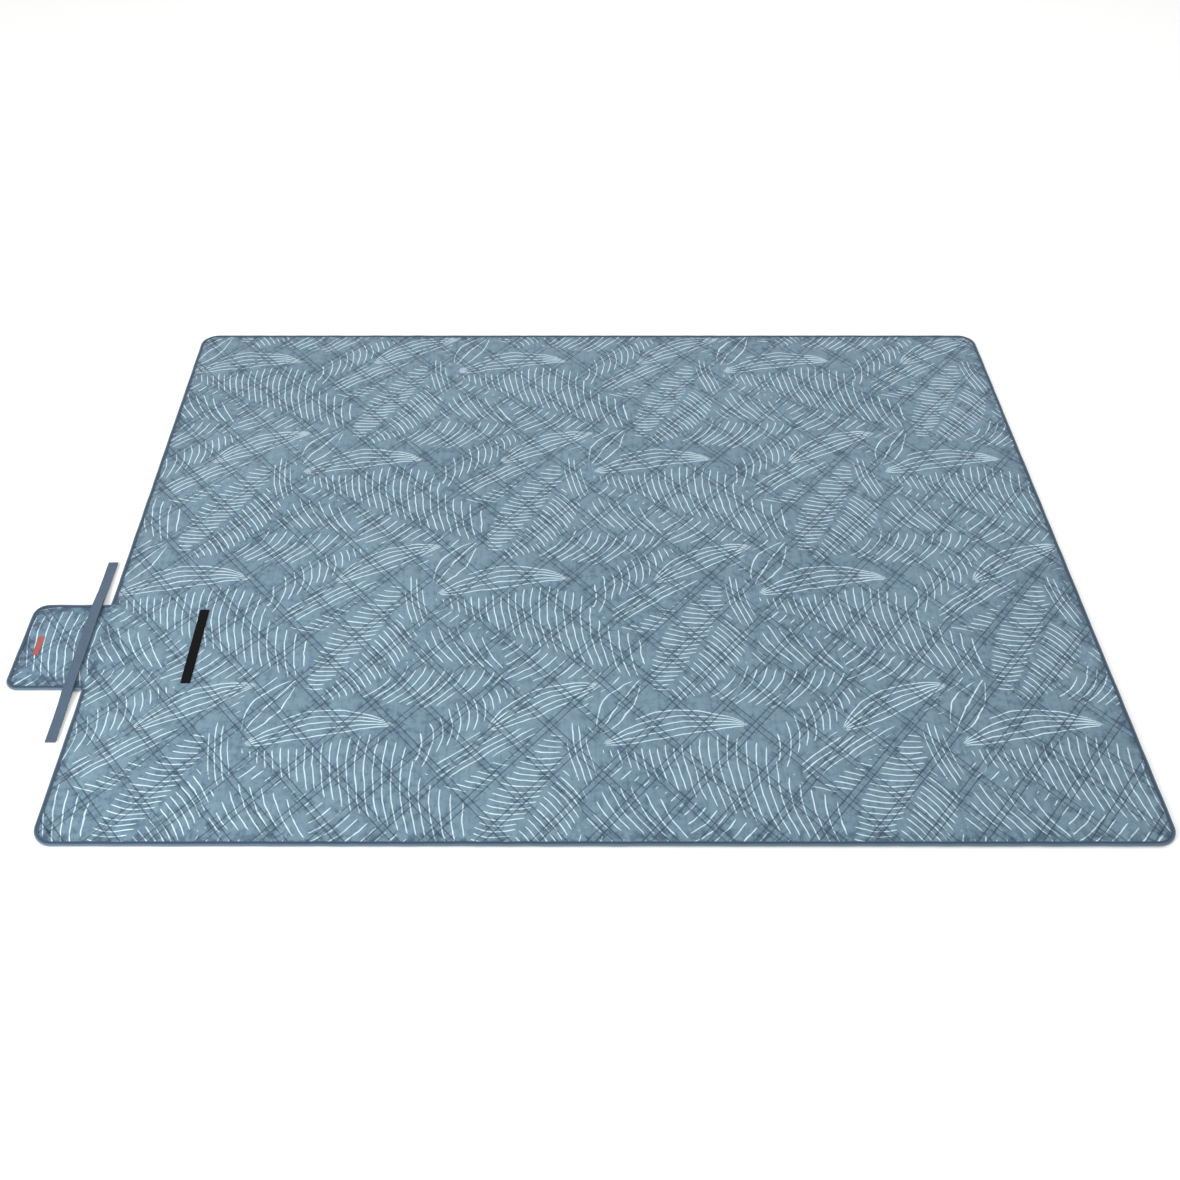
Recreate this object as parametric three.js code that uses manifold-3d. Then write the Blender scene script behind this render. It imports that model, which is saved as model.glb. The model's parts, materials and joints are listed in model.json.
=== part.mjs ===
// Quilted camp blanket, in millimetres.
//
// The blanket lies flat, face up. X runs along its long side, Y across it from the near edge to
// the far edge, and Z is up. The origin is the middle of the backing's underside.
//
// The quilt has three layers: a printed cover, a soft wadding and a waterproof backing, held at
// the edge by a folded binding tape. The wadding ends beside the tape, and the backing steps up
// over the tape's lower flange, so that both lie on the ground. The quilt folds at four creases,
// so every layer is a row of five panels. A closing flap with a webbing handle leaves the left
// edge at the second panel.

import * as THREE from 'three';
import { mergeVertices } from 'three/addons/utils/BufferGeometryUtils.js';
import Module from 'manifold-3d';

const wasm = await Module();
wasm.setup();

// ---- driving dimensions -------------------------------------------------------------------

const QUILT_LENGTH = 2000; // along X
const QUILT_WIDTH = 1500; // along Y
const CORNER_RADIUS = 40;
const PANELS = 5; // between creases, counted from the near edge
const FLAP_PANEL = 2; // the panel that carries the flap

const BACKING_THICK = 0.8;
const WADDING_THICK = 3.2;
const COVER_THICK = 0.6;

const TAPE_THICK = 0.8; // binding tape
const BINDING_WIDTH = 8; // of each flange, from the edge

const FLAP_REACH = 153; // from the quilt's left edge to the flap's end
const FLAP_WIDTH = 220;
const FLAP_RADIUS = 28;

const LABEL = { length: 47, width: 12, thick: 0.6, fromFlapEnd: 38 };
const SEWING_MARGIN = 7; // between the flap's binding and what is sewn beside it
const HOOK_TAPE = { width: 19, thick: 1.4, fromEdge: 197 };
const LOOP_TAPE = { width: 25, fromFlapEnd: 42 };

const STRAP_WIDTH = 20;
const STRAP_THICK = 1.2;
const STRAP_LENGTH = 464; // from fold to fold
const STRAP_FROM_EDGE = 25.5; // the strap's middle, left of the quilt's edge
const STRAP_LAYER_GAP = 0.4; // between the strap's upper and lower run
const ANCHOR_LENGTH = 35;

const PEG_LOOP = { length: 34, width: 20, fromCorner: 40 };
const BAR_TACK = { length: 12, width: 3.5, thick: 0.5, fromCorner: 28 };

const SEAT_GAP = 0.3; // between pieces that touch
const CREASE_GAP = 0.4; // between two panels
const CURVE_SEGMENTS = 8; // of a quarter round

// ---- heights and places that follow from them ---------------------------------------------

const WADDING_Z = BACKING_THICK + SEAT_GAP;
const COVER_Z = WADDING_Z + WADDING_THICK + SEAT_GAP;
const FACE_Z = COVER_Z + COVER_THICK; // top of the cover
const ON_FACE_Z = FACE_Z + SEAT_GAP; // underside of what is sewn to the cover
const BINDING_TOP_Z = ON_FACE_Z + TAPE_THICK;
const UNDER_Z = -SEAT_GAP - TAPE_THICK; // underside of what is sewn below the backing
const RIM_Z = TAPE_THICK + SEAT_GAP; // the backing's rim, on the binding's lower flange

const LEFT = -QUILT_LENGTH / 2;
const RIGHT = QUILT_LENGTH / 2;
const NEAR = -QUILT_WIDTH / 2;
const FAR = QUILT_WIDTH / 2;
const PANEL_WIDTH = QUILT_WIDTH / PANELS;
const LAYER_INSET = TAPE_THICK + SEAT_GAP; // from the outline to the layers' edge
const STEP_INSET = BINDING_WIDTH + SEAT_GAP; // to the backing's step
const WADDING_INSET = STEP_INSET + BACKING_THICK + SEAT_GAP;
const FLAP_Y = NEAR + (FLAP_PANEL - 0.5) * PANEL_WIDTH;

// Across the flap, inside its binding: the length of the hook and loop tapes.
const CLOSURE_LENGTH = FLAP_WIDTH - 2 * (BINDING_WIDTH + SEWING_MARGIN);

const FLAP_END = LEFT - FLAP_REACH;
const flapNear = FLAP_Y - FLAP_WIDTH / 2;
const flapFar = FLAP_Y + FLAP_WIDTH / 2;

const panelStart = (n) => NEAR + (n - 1) * PANEL_WIDTH;

// ---- materials ----------------------------------------------------------------------------

const cloth = (color, roughness) => new THREE.MeshStandardMaterial({ color, roughness, metalness: 0 });

const MATERIALS = {
  cover: cloth(0x7f9db1, 0.85),
  wadding: cloth(0xe9ecee, 1.0),
  backing: cloth(0x3f4a55, 0.6),
  binding: cloth(0x2f4a60, 0.8),
  label: cloth(0xc4532f, 0.7),
  hook: cloth(0x15181b, 0.9),
  loop: cloth(0x1b1f23, 1.0),
  webbing: cloth(0x5d7c92, 0.75),
  thread: cloth(0x22313e, 0.8),
};

// ---- shape helpers ------------------------------------------------------------------------

// A rectangle with its own radius at each corner: [near left, near right, far right, far left].
function rectangle(x0, x1, y0, y1, [nearLeft, nearRight, farRight, farLeft] = [0, 0, 0, 0]) {
  const shape = new THREE.Shape();
  const corner = (x, y, r, startAngle) => {
    if (r > 0) shape.absarc(x, y, r, startAngle, startAngle + Math.PI / 2);
    else shape.lineTo(x, y);
  };
  shape.moveTo(x0 + nearLeft, y0);
  corner(x1 - nearRight, y0 + nearRight, nearRight, -Math.PI / 2);
  corner(x1 - farRight, y1 - farRight, farRight, 0);
  corner(x0 + farLeft, y1 - farLeft, farLeft, Math.PI / 2);
  corner(x0 + nearLeft, y0 + nearLeft, nearLeft, Math.PI);
  shape.closePath();
  return shape;
}

function slab(shape, z, thick) {
  const options = { depth: thick, bevelEnabled: false, curveSegments: CURVE_SEGMENTS };
  return new THREE.ExtrudeGeometry(shape, options).translate(0, 0, z);
}

function centredSlab(x, y, z, lengthX, lengthY, thick) {
  return new THREE.BoxGeometry(lengthX, lengthY, thick).translate(x, y, z + thick / 2);
}

function toSolid(geometry) {
  const bare = geometry.clone();
  bare.deleteAttribute('normal');
  bare.deleteAttribute('uv');
  const merged = mergeVertices(bare, 1e-4);
  return new wasm.Manifold(
    new wasm.Mesh({
      numProp: 3,
      vertProperties: new Float32Array(merged.attributes.position.array),
      triVerts: new Uint32Array(merged.index.array),
    }),
  );
}

function toGeometry(solid) {
  const mesh = solid.getMesh();
  const geometry = new THREE.BufferGeometry();
  geometry.setAttribute('position', new THREE.BufferAttribute(mesh.vertProperties, 3));
  geometry.setIndex(new THREE.BufferAttribute(mesh.triVerts, 1));
  geometry.computeVertexNormals();
  return geometry;
}

const blanket = new THREE.Group();

function add(name, geometry, material) {
  const mesh = new THREE.Mesh(geometry, material);
  mesh.name = name;
  blanket.add(mesh);
  return mesh;
}

// ---- quilt layers -------------------------------------------------------------------------

// One panel of a layer, inset from the quilt's outline, with its round corners on the first and
// the last panel.
function panelShape(n, inset) {
  const first = n === 1;
  const last = n === PANELS;
  const radius = CORNER_RADIUS - inset;
  const near = panelStart(n) + (first ? inset : CREASE_GAP / 2);
  const far = panelStart(n + 1) - (last ? inset : CREASE_GAP / 2);
  const nearRadius = first ? radius : 0;
  const farRadius = last ? radius : 0;
  const radii = [nearRadius, nearRadius, farRadius, farRadius];
  return rectangle(LEFT + inset, RIGHT - inset, near, far, radii);
}

// The flap's layers run on past the quilt's outline to the edge of the quilt's layers.
function flapShape(inset) {
  const root = LEFT + LAYER_INSET - SEAT_GAP;
  const radii = [FLAP_RADIUS - inset, 0, 0, FLAP_RADIUS - inset];
  return rectangle(FLAP_END + inset, root, flapNear + inset, flapFar - inset, radii);
}

// A flat middle on the ground and a rim on the binding's lower flange, joined by a step.
function steppedBacking(shape) {
  const rimTop = RIM_Z + BACKING_THICK;
  const wallShape = shape(STEP_INSET);
  const middle = toSolid(slab(wallShape, 0, BACKING_THICK));
  const wall = toSolid(slab(wallShape, 0, rimTop));
  const rim = toSolid(slab(shape(LAYER_INSET), RIM_Z, BACKING_THICK));
  const hollow = toSolid(slab(shape(STEP_INSET + BACKING_THICK), BACKING_THICK, rimTop));
  return toGeometry(middle.add(wall).add(rim).subtract(hollow));
}

// The three layers of a quilted piece, whose shape is a function of the inset.
function addLayers(shape, nameOf) {
  add(nameOf('backing'), steppedBacking(shape), MATERIALS.backing);
  add(nameOf('wadding'), slab(shape(WADDING_INSET), WADDING_Z, WADDING_THICK), MATERIALS.wadding);
  add(nameOf('cover'), slab(shape(LAYER_INSET), COVER_Z, COVER_THICK), MATERIALS.cover);
}

for (let n = 1; n <= PANELS; n++) {
  addLayers((inset) => panelShape(n, inset), (layer) => `${layer}_${n}`);
}
addLayers(flapShape, (layer) => `flap_${layer}`);

// ---- binding ------------------------------------------------------------------------------

// A tape folded over an edge: an outer slab, less the pocket for the layers, less the window
// that leaves a flange above and below. The pocket and the window reach openX past the outline
// on the right, so that a flap's tape stays open at its root.
function foldedTape(x0, x1, y0, y1, radii, openX = 0) {
  const inset = (d) => {
    const right = openX > 0 ? x1 + openX : x1 - d;
    const smaller = radii.map((r) => (r > 0 ? r - d : 0));
    return rectangle(x0 + d, right, y0 + d, y1 - d, smaller);
  };
  const height = BINDING_TOP_Z;
  const outer = toSolid(slab(rectangle(x0, x1, y0, y1, radii), 0, height));
  const pocket = toSolid(slab(inset(TAPE_THICK), TAPE_THICK, height - 2 * TAPE_THICK));
  const window = toSolid(slab(inset(BINDING_WIDTH), -height, 3 * height));
  return outer.subtract(pocket).subtract(window);
}

const corners = [CORNER_RADIUS, CORNER_RADIUS, CORNER_RADIUS, CORNER_RADIUS];
const edgeTape = foldedTape(LEFT, RIGHT, NEAR, FAR, corners);

// The length of the edge tape that lies between two values of Y, on one side or on both.
function addEdgeTape(name, yNear, yFar, side = 0) {
  const x0 = side > 0 ? 0 : LEFT - BINDING_WIDTH;
  const x1 = side < 0 ? 0 : RIGHT + BINDING_WIDTH;
  const height = 4 * BINDING_TOP_Z;
  const y0 = yNear === NEAR ? NEAR - BINDING_WIDTH : yNear + CREASE_GAP / 2;
  const y1 = yFar === FAR ? FAR + BINDING_WIDTH : yFar - CREASE_GAP / 2;
  const stretch = toSolid(slab(rectangle(x0, x1, y0, y1), -height / 2, height));
  add(name, toGeometry(edgeTape.intersect(stretch)), MATERIALS.binding);
}

for (let n = 1; n <= PANELS; n++) {
  const near = panelStart(n);
  const far = panelStart(n + 1);
  if (n === 1 || n === PANELS) {
    addEdgeTape(`binding_${n}`, near, far);
    continue;
  }
  addEdgeTape(`binding_${n}_right`, near, far, 1);
  if (n === FLAP_PANEL) {
    addEdgeTape(`binding_${n}_left_near`, near, FLAP_Y - FLAP_WIDTH / 2, -1);
    addEdgeTape(`binding_${n}_left_far`, FLAP_Y + FLAP_WIDTH / 2, far, -1);
  } else {
    addEdgeTape(`binding_${n}_left`, near, far, -1);
  }
}

// ---- flap ---------------------------------------------------------------------------------

const flapRadii = [FLAP_RADIUS, 0, 0, FLAP_RADIUS];
const flapTape = foldedTape(
  FLAP_END, LEFT - SEAT_GAP, flapNear, flapFar, flapRadii, BINDING_WIDTH,
);
add('flap_binding', toGeometry(flapTape), MATERIALS.binding);

const labelX = FLAP_END + LABEL.fromFlapEnd;
add(
  'flap_label',
  centredSlab(labelX, FLAP_Y, ON_FACE_Z, LABEL.width, LABEL.length, LABEL.thick),
  MATERIALS.label,
);

const loopX = FLAP_END + LOOP_TAPE.fromFlapEnd;
add(
  'flap_loop_tape',
  centredSlab(loopX, FLAP_Y, UNDER_Z, LOOP_TAPE.width, CLOSURE_LENGTH, TAPE_THICK),
  MATERIALS.loop,
);

const hookX = LEFT + HOOK_TAPE.fromEdge;
add(
  'hook_tape',
  centredSlab(hookX, FLAP_Y, ON_FACE_Z, HOOK_TAPE.width, CLOSURE_LENGTH, HOOK_TAPE.thick),
  MATERIALS.hook,
);

// ---- webbing handle -----------------------------------------------------------------------

// The strap is folded back under itself at both ends, and each lower run ends on an anchor,
// which is sewn to the flap beside its root.
const strapX = LEFT - STRAP_FROM_EDGE;
const ANCHOR_OUTER = FLAP_WIDTH / 2 - BINDING_WIDTH - SEWING_MARGIN; // from the strap's middle
const ANCHOR_INNER = ANCHOR_OUTER - ANCHOR_LENGTH;
const STRAP_LOW_Z = ON_FACE_Z + STRAP_THICK + SEAT_GAP;
const STRAP_HEIGHT = 2 * STRAP_THICK + STRAP_LAYER_GAP;

// Seen from the side, with the strap's length across and its height up.
function strapProfile() {
  const outerRadius = STRAP_HEIGHT / 2;
  const innerRadius = STRAP_LAYER_GAP / 2;
  const end = STRAP_LENGTH / 2 - outerRadius;
  const shape = new THREE.Shape();
  shape.moveTo(ANCHOR_INNER, 0);
  shape.absarc(end, outerRadius, outerRadius, -Math.PI / 2, Math.PI / 2);
  shape.absarc(-end, outerRadius, outerRadius, Math.PI / 2, 1.5 * Math.PI);
  shape.lineTo(-ANCHOR_INNER, 0);
  shape.lineTo(-ANCHOR_INNER, STRAP_THICK);
  shape.absarc(-end, outerRadius, innerRadius, 1.5 * Math.PI, Math.PI / 2, true);
  shape.absarc(end, outerRadius, innerRadius, Math.PI / 2, -Math.PI / 2, true);
  shape.lineTo(ANCHOR_INNER, STRAP_THICK);
  shape.closePath();
  return shape;
}

const strap = new THREE.ExtrudeGeometry(strapProfile(), {
  depth: STRAP_WIDTH,
  bevelEnabled: false,
  curveSegments: CURVE_SEGMENTS,
});
// The profile's across and up become Y and Z, and its depth becomes X.
strap.translate(0, 0, -STRAP_WIDTH / 2);
strap.rotateX(Math.PI / 2);
strap.rotateZ(Math.PI / 2);
strap.translate(strapX, FLAP_Y, STRAP_LOW_Z);
add('handle_strap', strap, MATERIALS.webbing);

for (const [name, side] of [['near', -1], ['far', 1]]) {
  const y = FLAP_Y + (side * (ANCHOR_INNER + ANCHOR_OUTER)) / 2;
  add(
    `handle_anchor_${name}`,
    centredSlab(strapX, y, ON_FACE_Z, STRAP_WIDTH, ANCHOR_LENGTH, STRAP_THICK),
    MATERIALS.webbing,
  );
}

// ---- peg loops and their bar tacks --------------------------------------------------------

const CORNERS = [
  ['near_left', LEFT, NEAR],
  ['near_right', RIGHT, NEAR],
  ['far_right', RIGHT, FAR],
  ['far_left', LEFT, FAR],
];

for (const [name, x, y] of CORNERS) {
  const inX = -Math.sign(x);
  const inY = -Math.sign(y);
  const diagonal = Math.atan2(inY, inX);

  const loop = add(
    `peg_loop_${name}`,
    new THREE.BoxGeometry(PEG_LOOP.length, PEG_LOOP.width, TAPE_THICK),
    MATERIALS.webbing,
  );
  const loopIn = PEG_LOOP.fromCorner;
  loop.position.set(x + inX * loopIn, y + inY * loopIn, UNDER_Z + TAPE_THICK / 2);
  loop.rotation.z = diagonal;

  const tack = add(
    `bar_tack_${name}`,
    new THREE.BoxGeometry(BAR_TACK.width, BAR_TACK.length, BAR_TACK.thick),
    MATERIALS.thread,
  );
  const tackIn = BAR_TACK.fromCorner;
  tack.position.set(x + inX * tackIn, y + inY * tackIn, ON_FACE_Z + BAR_TACK.thick / 2);
  tack.rotation.z = diagonal;
}

export default blanket;
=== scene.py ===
# %% [markdown]
# # A quilted camp blanket
#
# The blanket lies flat, face up: a printed cover, a layer of wadding and a coated backing, quilted
# together and bound at the edge with folded tape. A flap with a webbing handle leaves its left
# edge. The CAD model gives the sizes, the places and the creases that the blanket folds at, so
# every number below is either read from it or is a detail that CAD doesn't hold, in metres.

# %% The frame
import json
import math

import bpy
import numpy as np
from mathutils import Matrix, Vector


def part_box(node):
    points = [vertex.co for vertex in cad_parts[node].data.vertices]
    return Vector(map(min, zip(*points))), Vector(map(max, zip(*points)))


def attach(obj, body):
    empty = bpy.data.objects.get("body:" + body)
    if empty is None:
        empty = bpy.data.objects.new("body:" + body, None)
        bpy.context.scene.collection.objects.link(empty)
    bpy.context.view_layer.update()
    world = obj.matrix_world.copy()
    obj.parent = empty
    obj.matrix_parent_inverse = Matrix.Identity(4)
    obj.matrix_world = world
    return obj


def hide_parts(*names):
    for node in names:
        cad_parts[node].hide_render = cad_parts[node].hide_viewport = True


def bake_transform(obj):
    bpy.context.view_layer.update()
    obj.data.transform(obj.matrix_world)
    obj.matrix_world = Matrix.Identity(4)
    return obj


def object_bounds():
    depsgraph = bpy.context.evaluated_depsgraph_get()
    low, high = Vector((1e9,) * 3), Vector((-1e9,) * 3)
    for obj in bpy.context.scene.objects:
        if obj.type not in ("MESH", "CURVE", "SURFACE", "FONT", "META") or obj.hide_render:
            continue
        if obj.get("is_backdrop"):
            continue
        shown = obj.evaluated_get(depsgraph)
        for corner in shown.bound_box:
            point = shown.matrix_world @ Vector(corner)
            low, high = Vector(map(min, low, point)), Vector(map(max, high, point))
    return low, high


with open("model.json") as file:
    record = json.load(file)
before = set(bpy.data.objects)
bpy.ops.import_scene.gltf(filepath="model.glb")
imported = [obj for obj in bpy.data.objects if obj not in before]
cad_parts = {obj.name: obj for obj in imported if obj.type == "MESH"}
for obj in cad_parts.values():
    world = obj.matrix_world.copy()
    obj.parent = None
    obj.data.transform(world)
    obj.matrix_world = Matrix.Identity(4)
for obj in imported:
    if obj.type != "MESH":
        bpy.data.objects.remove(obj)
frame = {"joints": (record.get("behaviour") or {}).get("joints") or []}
cad_low, cad_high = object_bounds()
MM = 0.001

CREASES = ("near_crease", "middle_crease", "third_crease", "far_crease")
axis_point = {joint["name"]: Vector(joint["pos_m"]) for joint in frame["joints"]}
near_left_low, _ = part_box("binding_1")
_, far_right_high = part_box("binding_5")
LEFT, NEAR = near_left_low.x, near_left_low.y
RIGHT, FAR = far_right_high.x, far_right_high.y
FACE_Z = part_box("cover_2")[1].z
TAPE_TOP = far_right_high.z
side_tape_low, side_tape_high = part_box("binding_3_right")
TAPE_WIDTH = side_tape_high.x - side_tape_low.x  # of each flange, in from the edge
print("quilt", RIGHT - LEFT, "by", FAR - NEAR, "m, face at", round(FACE_Z / MM, 2), "mm")

# %% [markdown]
# ## The stage
#
# The blanket is seen from above its near edge, a little left of its middle, as a standing person
# sees it. The floor is plain and pale. Most of the light is even, and one soft lamp low on the
# near left side draws the quilting, because relief only shows where light grazes it.

# %% Camera
CAMERA_AT = (-0.0879, -1.7799, 1.7841)
CAMERA_DOWN = 47.498  # degrees below the horizon
CAMERA_LENS = 35.405  # mm, on a 36 mm sensor
CAMERA_SHIFT = 0.0302

camera_data = bpy.data.cameras.new("camera")
camera_data.sensor_width = 36
camera_data.lens = CAMERA_LENS
camera_data.shift_x = CAMERA_SHIFT
camera = bpy.data.objects.new("camera", camera_data)
camera.location = CAMERA_AT
camera.rotation_euler = (math.radians(90 - CAMERA_DOWN), 0, 0)
bpy.context.scene.collection.objects.link(camera)
bpy.context.scene.camera = camera
print("camera", CAMERA_AT, "lens", CAMERA_LENS)

# %% Light
LAMPS = {
    "low_lamp": {"at": (-3.2, -2.6, 1.9), "size": 1.4, "watts": 150},
    "high_lamp": {"at": (1.0, 1.5, 4.0), "size": 3.0, "watts": 45},
}
SKY_STRENGTH = 0.84

for name, lamp in LAMPS.items():
    data = bpy.data.lights.new(name, "AREA")
    data.size = lamp["size"]
    data.energy = lamp["watts"]
    lamp_object = bpy.data.objects.new(name, data)
    lamp_object.location = lamp["at"]
    lamp_object.rotation_euler = (-Vector(lamp["at"])).to_track_quat("-Z", "Y").to_euler()
    bpy.context.scene.collection.objects.link(lamp_object)

sky = bpy.data.worlds.new("studio")
sky.use_nodes = True
sky.node_tree.nodes["Background"].inputs["Color"].default_value = (1, 1, 1, 1)
sky.node_tree.nodes["Background"].inputs["Strength"].default_value = SKY_STRENGTH
bpy.context.scene.world = sky
bpy.context.scene.view_settings.view_transform = "Standard"
print("lamps:", ", ".join(LAMPS))

# %% [markdown]
# ## How a finish is written
#
# A material is a network of nodes, but its maths reads better as maths. `Shade` wraps one output
# socket, so that `1 - mask` or `distance * pitch` adds the Math node it needs. `Finish` owns the
# material, and its one method `node` makes any other node from a type, settings and inputs.

# %% Shades and finishes
class Shade:
    """A number at each point of a surface, with arithmetic."""

    def __init__(self, finish, socket):
        self.finish = finish
        self.socket = socket

    def math(self, operation, *others):
        return self.finish.node("ShaderNodeMath", {"operation": operation}, self, *others)

    def __add__(self, other):
        return self.math("ADD", other)

    def __sub__(self, other):
        return self.math("SUBTRACT", other)

    def __rsub__(self, other):
        return (self * -1) + other

    def __mul__(self, other):
        return self.math("MULTIPLY", other)

    def __truediv__(self, other):
        return self.math("DIVIDE", other)

    __radd__ = __add__
    __rmul__ = __mul__

    def step(self, low, high):
        """0 below low and 1 above high, with a soft edge. With high below low it falls."""
        settings = {"interpolation_type": "SMOOTHSTEP"}
        return self.finish.node("ShaderNodeMapRange", settings, self, low, high, 0.0, 1.0)

    def from_line(self, period):
        """Distance from the nearest of the lines that lie a period apart, in periods."""
        return ((self / period + 0.5).math("FRACT") - 0.5).math("ABSOLUTE")


class Finish:
    """One material, made of expressions."""

    def __init__(self, name):
        self.material = bpy.data.materials.new(name)
        self.material.use_nodes = True
        self.nodes = self.material.node_tree.nodes
        self.links = self.material.node_tree.links
        self.shader = self.nodes["Principled BSDF"]

    def node(self, kind, settings=None, *values, output=0, **named):
        made = self.nodes.new(kind)
        for key, value in (settings or {}).items():
            setattr(made, key, value)
        for key, value in [*enumerate(values), *named.items()]:
            self.feed(made.inputs[key], value)
        return Shade(self, made.outputs[output])

    def feed(self, socket, value):
        if isinstance(value, Shade):
            self.links.new(value.socket, socket)
        else:
            socket.default_value = value

    def surface(self, **sockets):
        """Feeds the shader's sockets; an underscore in a name stands for a space."""
        for name, value in sockets.items():
            self.feed(self.shader.inputs[name.replace("_", " ")], value)
        return self.material

    def attribute(self, name):
        return self.node("ShaderNodeAttribute", {"attribute_name": name}, output="Fac")

    def flat(self):
        """The cloth's own flat coordinates, in metres: a vector and its two parts."""
        uv = self.node("ShaderNodeUVMap", {"uv_map": "flat"})
        return (uv, *self.split(uv))

    def place(self):
        """Where a point lies in its piece, in metres."""
        return self.node("ShaderNodeTexCoord", None, output="Object")

    def split(self, vector):
        """The X and the Y of a vector."""
        x = self.node("ShaderNodeSeparateXYZ", None, vector)
        return x, Shade(self, x.socket.node.outputs["Y"])

    def noise(self, vector, scale, detail=2.0, rough=0.5):
        return self.node("ShaderNodeTexNoise", None, Vector=vector, Scale=scale, Detail=detail,
                         Roughness=rough)

    def stretched(self, vector, degrees, scale):
        """The vector turned about Z, and then scaled along and across."""
        turned = self.node("ShaderNodeVectorRotate", {"rotation_type": "Z_AXIS"}, Vector=vector,
                           Angle=math.radians(degrees))
        return self.node("ShaderNodeVectorMath", {"operation": "MULTIPLY"}, turned, scale)

    def mix(self, factor, first, second):
        """A colour between two colours."""
        made = self.nodes.new("ShaderNodeMix")
        made.data_type = "RGBA"
        for name, value in (("Factor_Float", factor), ("A_Color", first), ("B_Color", second)):
            self.feed(next(s for s in made.inputs if s.identifier == name), value)
        return Shade(self, next(s for s in made.outputs if s.identifier == "Result_Color"))

    def bump(self, height, distance, strength=1.0):
        return self.node("ShaderNodeBump", None, Strength=strength, Distance=distance,
                         Height=height)


def colour(red, green, blue):
    """A linear colour from one picked on a screen, 0 to 255."""
    parts = [channel / 255 for channel in (red, green, blue)]
    return (*[p / 12.92 if p <= 0.04045 else ((p + 0.055) / 1.055) ** 2.4 for p in parts], 1.0)


print("finish helpers ready")

# %% Floor
FLOOR_Z = cad_low.z


def deselect():
    bpy.ops.object.select_all(action="DESELECT")


deselect()
bpy.ops.mesh.primitive_plane_add(size=60, location=(0, 0, FLOOR_Z))
floor = bpy.context.object
floor.name = "floor"
paint = Finish("floor_paint")
floor.data.materials.append(paint.surface(Base_Color=colour(249, 249, 248), Roughness=0.9))
floor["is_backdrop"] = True
print("floor at", round(FLOOR_Z / MM, 2), "mm")

# %% [markdown]
# ## The shape of quilted cloth
#
# Two needles run side by side and sew the three layers together along slanting lines, which cross
# and make diamonds. The wadding swells between the lines. A simulation could inflate each diamond,
# but the swell is shallow and its shape is known, so it is written as a height over the flat cloth:
# zero on a stitch line, full on a diamond's crown, and a low ridge between the two needles' lines.
# Slow ripples, the creases left by folding, and gathers at the bound edge lie on top of that.

# %% Ripples
def ripples(x, y, size, seed, waves=7):
    """A soft irregular height from -1 to 1, with humps about half a size across."""
    random = np.random.default_rng(seed)
    total = 0
    for _ in range(waves):
        heading = random.uniform(0, math.tau)
        number = math.tau / (size * random.uniform(0.7, 1.5))
        along = x * math.cos(heading) + y * math.sin(heading)
        total = total + np.sin(number * along + random.uniform(0, math.tau))
    return total / waves * 1.6


def soft_step(value, low, high):
    share = np.clip((value - low) / (high - low), 0, 1)
    return share * share * (3 - 2 * share)


# %% Quilting
STITCH_SLANT = math.radians(48.5)  # from the long side
STITCH_PITCH = 72.75 * MM  # from one pair of lines to the next
NEEDLE_GAP = 12 * MM  # between the two lines of a pair
SHOULDER = 24 * MM  # from a stitch line to the full swell
CHANNEL_SWELL = 0.26  # of the ridge between the two lines


def swell(x, y, slant):
    """How far the wadding swells beside one family of stitch lines, from 0 to 1."""
    place = (x * math.sin(slant) + y * math.cos(slant)) / STITCH_PITCH
    across = np.abs(place - np.floor(place) - 0.5) * STITCH_PITCH
    outside = np.clip((across - NEEDLE_GAP / 2) / SHOULDER, 0, 1)
    inside = np.clip(1 - (2 * across / NEEDLE_GAP) ** 2, 0, 1)
    return np.where(across > NEEDLE_GAP / 2, outside * (2 - outside), CHANNEL_SWELL * inside)


def pillows(x, y):
    return swell(x, y, STITCH_SLANT) * swell(x, y, -STITCH_SLANT)


# %% Distance in from a rounded outline
def inset_of(x, y, box, radius):
    """How far inside a round-cornered outline a point lies."""
    x0, x1, y0, y1 = box
    dx = np.abs(x - (x0 + x1) / 2) - ((x1 - x0) / 2 - radius)
    dy = np.abs(y - (y0 + y1) / 2) - ((y1 - y0) / 2 - radius)
    outside = np.hypot(np.maximum(dx, 0), np.maximum(dy, 0))
    return radius - outside - np.minimum(np.maximum(dx, dy), 0)


QUILT_BOX = (LEFT, RIGHT, NEAR, FAR)
QUILT_RADIUS = 40 * MM
flap_low, flap_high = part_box("flap_binding")
FLAP_BOX = (flap_low.x, LEFT + 0.2, flap_low.y, flap_high.y)  # runs on past its root
FLAP_RADIUS = 28 * MM
print("flap", round(LEFT - flap_low.x, 4), "by", round(flap_high.y - flap_low.y, 4), "m")

# %% [markdown]
# Where something is sewn to the face, it holds the cloth down: the hook tape, the label and the
# bar tacks in the corners. A bar tack also gathers the cloth, so that small folds run out from it
# like a star.

# %% Held-down places
TACK_NAMES = [f"bar_tack_{side}" for side in ("near_left", "near_right", "far_right", "far_left")]
tack_places = [sum(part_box(name), Vector()) / 2 for name in TACK_NAMES]


def held_by(x, y, node, margin=9 * MM):
    """1 under a CAD node that is sewn on, falling to 0 a margin away from it."""
    low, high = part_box(node)
    dx = np.maximum(np.maximum(low.x - x, x - high.x), 0)
    dy = np.maximum(np.maximum(low.y - y, y - high.y), 0)
    return 1 - soft_step(np.hypot(dx, dy), 1 * MM, margin)


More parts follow.
